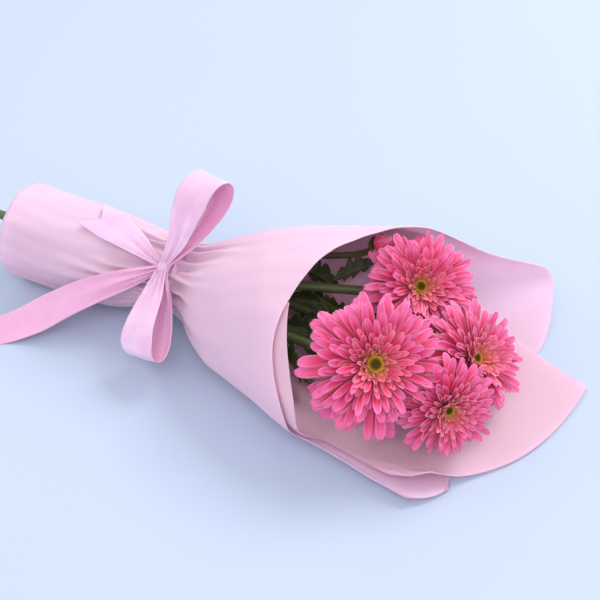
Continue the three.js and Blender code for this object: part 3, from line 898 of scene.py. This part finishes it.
def flower_frame(name):
    """A head's foot, the way it faces, its disc's radius and its own radius, read from its CAD nodes."""
    disc = vertices_of(f"{name}_disc")
    calyx = vertices_of(f"{name}_calyx")
    axis = disc.mean(axis=0) - calyx.mean(axis=0)
    axis /= np.linalg.norm(axis)
    heights = (disc - disc.mean(axis=0)) @ axis
    centre = disc.mean(axis=0) + axis * heights.min()
    outer = vertices_of(f"{name}_outer_petals") - centre

    def spread(places):
        return np.linalg.norm(places - np.outer(places @ axis, axis), axis=1).max()

    return centre, axis, spread(disc - centre), spread(outer)


def petal_rings(name, node, rings, material, head, level, seeds):
    """One whorl's rings of petals. "level" is how many rings lie outside them."""
    centre, axis, disc_radius, radius = head
    flower = name.split("_")[0]
    radius *= HEAD_FULLNESS[flower]
    first, second = basis(axis)
    patches = Patches()
    for number, (count, reach, rise, bend, width, cup) in enumerate(rings):
        start = seeds.uniform(0, 6.28)
        for k in range(count):
            turn = start + 2 * math.pi * (k + seeds.uniform(-0.34, 0.34)) / count
            out = first * math.cos(turn) + second * math.sin(turn)
            across = np.cross(axis, out)
            layer = level + number
            inwards = mix(1.0, DISC_SHARE, layer / 9)
            foot = centre + out * disc_radius * inwards + axis * layer * LAYER_STEP
            length = radius * reach * seeds.uniform(0.82, 1.08)
            wide = radius * width * seeds.uniform(0.88, 1.1)
            slope = rise + seeds.uniform(-9, 9)
            curve = bend + seeds.uniform(-12, 12)
            heart = max(0.0, (layer - 7.4) / 2.8)
            # Painted shade: heads in the wrapping's shade get a larger least share of the darker tint.
            shade = HEAD_PAINTED_SHADE[flower]
            petal(patches, foot, out, axis, across, length, wide, slope, curve, cup, heart, shade, seeds)
    return new_object(name, patches.mesh(name), material, node)


def disc_florets(name, node, head, seeds):
    """The disc: a low dome packed with florets in spirals, short in the middle and taller outside."""
    centre, axis, disc_radius, radius = head
    disc_radius *= DISC_SHARE
    first, second = basis(axis)
    points, faces, ripe = [], [], []
    golden = math.pi * (3 - math.sqrt(5))
    dome = 0.30 * disc_radius
    height = 0.17 * radius
    for k in range(FLORETS):
        share = math.sqrt((k + 0.5) / FLORETS)
        turn = k * golden
        out = first * math.cos(turn) + second * math.sin(turn)
        dip = 0.10 * radius * math.exp(-((share / 0.35) ** 2)) * 0.35
        rise = height + dome * (1 - share**2) - dip
        foot = centre + out * disc_radius * share * 1.02 + axis * (rise - 0.6 * MM)
        lean = axis * (1 - 0.35 * share) + out * 0.55 * share
        lean /= np.linalg.norm(lean)
        a, b = basis(lean)
        size = disc_radius * mix(0.055, 0.105, share) * seeds.uniform(0.9, 1.1)
        tall = disc_radius * mix(0.12, 0.34, share) * seeds.uniform(0.85, 1.15)
        base = len(points)
        for level, wide in ((0.0, 0.7), (0.55, 1.0), (0.9, 0.75), (1.0, 0.2)):
            for j in range(FLORET_SIDES):
                angle = 2 * math.pi * j / FLORET_SIDES
                round_stem = (a * math.cos(angle) + b * math.sin(angle)) * size * wide
                points.append(foot + lean * tall * level + round_stem)
                ripe.append(min(1.0, share * 0.9 + 0.15 * level * share))
        for level in range(3):
            for j in range(FLORET_SIDES):
                here = base + level * FLORET_SIDES + j
                there = base + level * FLORET_SIDES + (j + 1) % FLORET_SIDES
                faces.append((here, there, there + FLORET_SIDES, here + FLORET_SIDES))
        faces.append(tuple(base + 3 * FLORET_SIDES + j for j in range(FLORET_SIDES)))
    # The dome below the florets
    base = len(points)
    rings, around = 6, 28
    for i in range(rings + 1):
        share = i / rings
        for j in range(around):
            angle = 2 * math.pi * j / around
            out = first * math.cos(angle) + second * math.sin(angle)
            lift = axis * (height + dome * (1 - share**2) - 0.6 * MM)
            points.append(centre + out * disc_radius * (0.05 + share) + lift)
            ripe.append(0.35 * share)
    for i in range(rings):
        for j in range(around):
            here = base + i * around + j
            there = base + i * around + (j + 1) % around
            faces.append((here, there, there + around, here + around))
    mesh = mesh_from(name, points, faces, {"along": ripe})
    return new_object(name, mesh, disc_look, node)


def calyx_bracts(name, node):
    """The green cup under a head, covered in short overlapping bracts."""
    places = vertices_of(node)
    flower = node.rsplit("_", 1)[0]
    above = vertices_of(flower + ("_disc" if flower != "bud" else "_petals"))
    axis = above.mean(axis=0) - places.mean(axis=0)
    axis /= np.linalg.norm(axis)
    first, second = basis(axis)
    centre = places.mean(axis=0)
    heights = (places - centre) @ axis
    low, high = heights.min(), heights.max()
    radial = np.linalg.norm((places - centre) - np.outer(heights, axis), axis=1)
    widest = radial.max()
    patches = Patches()
    rows, around = 8, 24
    for layer, (grow, start) in enumerate(((0.94, 0.0), (1.0, 0.0), (1.06, 0.5))):
        count = 1 if layer == 0 else 11
        for k in range(count):
            upper, lower = [], []
            for i in range(rows + 1):
                t = i / rows
                row_up, row_down = [], []
                columns = around if layer == 0 else 4
                for j in range(columns + 1):
                    s = j / columns
                    if layer == 0:
                        turn = 2 * math.pi * s
                    else:
                        half = 0.42 * (1 - t**3) + 0.02
                        turn = 2 * math.pi * (k + start) / count + (2 * s - 1) * half
                    r = widest * (0.36 + 0.64 * math.sin(0.5 * math.pi * min(1.0, t * 1.15))) * grow
                    out = first * math.cos(turn) + second * math.sin(turn)
                    top = mix(low, high, t * (1.0 if layer != 1 else 0.75))
                    base = centre + axis * top + out * r
                    row_up.append(base)
                    row_down.append(base - out * 0.3 * MM)
                upper.append(row_up)
                lower.append(row_down)
            patches.add(upper, lower)
    return new_object(name, patches.mesh(name), stem_look, node)


def leaf(name, node):
    """A lobed chrysanthemum leaf, laid along the CAD blade's own length, width and face."""
    places = vertices_of(node)
    centre = places.mean(axis=0)
    values, vectors = np.linalg.eigh(np.cov((places - centre).T))
    length_axis, width_axis, face = vectors[:, 2], vectors[:, 1], vectors[:, 0]
    waist = np.array([waist_x, 0, 0])
    foot, tip = centre - length_axis * 0.01, centre + length_axis * 0.01
    if np.linalg.norm(foot - waist) > np.linalg.norm(tip - waist):
        length_axis = -length_axis
    if face[2] < 0:
        face = -face
    reach = (places - centre) @ length_axis
    low, high = reach.min(), reach.max()
    half_width = np.abs((places - centre) @ width_axis).max()
    patches = Patches()
    upper, lower, veins = [], [], []
    rows, columns = 44, 12
    for i in range(rows + 1):
        t = i / rows
        stalk = float(smoothstep(0.12, 0.26, t))
        body = math.sin(math.pi * min(1.0, max(0.0, (t - 0.1) / 0.9)) ** 0.9) ** 0.7
        teeth = 0.42 + 0.58 * abs(math.sin(math.pi * LEAF_LOBES * t**1.1)) ** 0.7
        small = 0.05 * math.sin(34 * t)
        half = half_width * LEAF_FULLNESS * (0.06 + stalk * (body * teeth + small * body))
        row_up, row_down, row_vein = [], [], []
        for j in range(columns + 1):
            s = mix(-1.0, 1.0, j / columns)
            sweep = 0.16 * (high - low) * abs(s) * stalk * (1 - t)
            place = mix(low, high, t) + sweep
            fold = 0.32 * abs(s) * half
            ruffle = 0.7 * MM * math.sin(8 * math.pi * t + 2.0) * abs(s) * stalk
            rib = 0.25 * MM * math.exp(-((s / 0.08) ** 2))
            arch = -0.10 * (high - low) * (t - 0.4) ** 2
            base = centre + length_axis * place + width_axis * s * half + face * (fold + ruffle - rib + arch)
            row_up.append(base)
            row_down.append(base - face * LEAF_THICKNESS)
            from_foot = max(0.0, t - 0.22 * abs(s))
            vein_wave = math.sin(math.pi * LEAF_LOBES * from_foot**1.1)
            side_vein = math.exp(-((vein_wave - 1) / 0.12) ** 2) * 0.7
            row_vein.append(max(math.exp(-((s / 0.07) ** 2)), side_vein * (1 - abs(s) * 0.5)))
        upper.append(row_up)
        lower.append(row_down)
        veins.append(row_vein)
    patches.add(upper, lower, vein=veins)
    return new_object(name, patches.mesh(name), leaf_look, node)


def bud_petals():
    """The bud: petals still folded over one another round a point."""
    petals = vertices_of("bud_petals")
    calyx = vertices_of("bud_calyx")
    axis = petals.mean(axis=0) - calyx.mean(axis=0)
    axis /= np.linalg.norm(axis)
    heights = (petals - petals.mean(axis=0)) @ axis
    foot = petals.mean(axis=0) + axis * heights.min()
    tall = heights.max() - heights.min()
    radial = petals - foot
    radius = np.linalg.norm(radial - np.outer(radial @ axis, axis), axis=1).max()
    first, second = basis(axis)
    seeds = random.Random(41)
    patches = Patches()
    for ring, (count, reach, wide) in enumerate(((9, 0.86, 1.0), (8, 1.0, 0.8), (5, 0.98, 0.5))):
        for k in range(count):
            start = 2 * math.pi * (k + 0.5 * ring + seeds.uniform(-0.1, 0.1)) / count
            half_turn = 1.25 * math.pi / count
            upper, lower, along, sides, tints = [], [], [], [], []
            tint = seeds.random()
            for i in range(9):
                t = i / 8
                belly = 0.55 + 0.5 * math.sin(math.pi * min(1.0, t * 0.9 + 0.12))
                r = radius * wide * belly * (1 - 0.72 * t**3)
                rows = [[], [], [], [], []]
                for j in range(5):
                    s = mix(-1.0, 1.0, j / 4)
                    narrow = math.sqrt(max(0.0, 1 - max(0.0, (t - 0.6) / 0.42) ** 2))
                    turn = start + s * half_turn * narrow + 0.25 * t
                    out = first * math.cos(turn) + second * math.sin(turn)
                    lift = 0.35 * MM * s
                    base = foot + axis * tall * reach * t + out * (r + lift)
                    rows[0].append(base)
                    rows[1].append(base - out * 0.2 * MM)
                    rows[2].append(0.25 + 0.75 * t)
                    rows[3].append(s)
                    rows[4].append(tint)
                upper.append(rows[0])
                lower.append(rows[1])
                along.append(rows[2])
                sides.append(rows[3])
                tints.append(rows[4])
            patches.add(upper, lower, along=along, across=sides, tint=tints)
    mesh = patches.mesh("bud_folded_petals")
    return new_object("bud_folded_petals", mesh, salmon_petals, "bud_petals")


def build_object():
    """Makes every piece and returns the two wrapping sheets and the ribbon's turn, loops and tails."""
    outer = sheet("wrap_outer", "wrap_outer_sheet", outer_wrap)
    inner = sheet("wrap_inner", "wrap_inner_sheet", inner_wrap)
    turn = ribbon_band()
    ribbon_knot()
    upper = ribbon("loop_upper", "ribbon_upper_loop", True, 0.0, 3)
    lower = ribbon("loop_lower", "ribbon_lower_loop", True, 0.0, 5)
    front = ribbon("tail_front", "ribbon_front_tail", False, NOTCH_DEPTH, 11)
    back = ribbon("tail_back", "ribbon_back_tail", False, NOTCH_DEPTH, 13)
    for flower in ("front", "top", "right", "low"):
        name = f"flower_{flower}"
        head = flower_frame(name)
        seeds = random.Random(sum(map(ord, flower)))
        whorls = (
            ("outer", OUTER_RINGS, "petals", pink_petals, 0),
            ("middle", MIDDLE_RINGS, "petals", pink_petals, 3),
            ("inner", INNER_RINGS, "inner_petals", salmon_petals, 6),
        )
        for whorl, rings, slot, look, level in whorls:
            node = f"{name}_{whorl}_petals"
            petal_rings(f"{flower}_{whorl}_ring", node, rings, look, head, level, seeds)
        disc_florets(f"{flower}_florets", f"{name}_disc", head, seeds)
        calyx_bracts(f"{flower}_bracts", f"{name}_calyx")
        smoothed_copy(f"{flower}_stalk", f"{name}_stem", stem_look)
    bud_petals()
    calyx_bracts("bud_bracts", "bud_calyx")
    smoothed_copy("bud_stalk", "bud_stem", stem_look)
    for node in sorted(nodes):
        if node.startswith("leaf_"):
            leaf(node.replace("leaf_", "blade_"), node)
    return outer, inner, turn, upper, lower, front, back


outer, inner, turn, upper, lower, front, back = build_object()


# Floor, light and camera


def floor():
    s = Shader("floor")
    cloud = s.noise(3, 2)
    colour = s.ramp(cloud, FLOOR_COLOURS)
    material = s.finish(colour, 0.9)
    r = FLOOR_REACH
    mesh = mesh_from("floor", [(-r, -r, 0), (r, -r, 0), (r, r, 0), (-r, r, 0)], [(0, 1, 2, 3)])
    mesh.materials.append(material)
    thing = bpy.data.objects.new("floor", mesh)
    bpy.context.scene.collection.objects.link(thing)


def lamp(name, place, aim, size, power, colour):
    data = bpy.data.lights.new(name, "AREA")
    data.size = size
    data.energy = power
    data.color = colour
    thing = bpy.data.objects.new(name, data)
    thing.location = place
    thing.rotation_euler = (Vector(aim) - Vector(place)).to_track_quat("-Z", "Y").to_euler()
    bpy.context.scene.collection.objects.link(thing)


def world(strength, colour):
    made = bpy.data.worlds.new("studio")
    made.use_nodes = True
    background = made.node_tree.nodes["Background"]
    background.inputs["Color"].default_value = (*colour, 1.0)
    background.inputs["Strength"].default_value = strength
    bpy.context.scene.world = made


def camera():
    azimuth, elevation = math.radians(CAMERA_AZIMUTH), math.radians(CAMERA_ELEVATION)
    level = math.cos(elevation)
    back = Vector((math.sin(azimuth) * level, -math.cos(azimuth) * level, math.sin(elevation)))
    data = bpy.data.cameras.new("camera")
    data.lens = CAMERA_LENS
    thing = bpy.data.objects.new("camera", data)
    thing.location = CAMERA_AIM + back * CAMERA_DISTANCE
    thing.rotation_euler = back.to_track_quat("Z", "Y").to_euler()
    bpy.context.scene.collection.objects.link(thing)
    bpy.context.scene.camera = thing


floor()
world(WORLD_STRENGTH, WORLD_COLOUR)
for row in LAMPS:
    lamp(*row)
camera()
bpy.context.scene.view_settings.view_transform = "Standard"
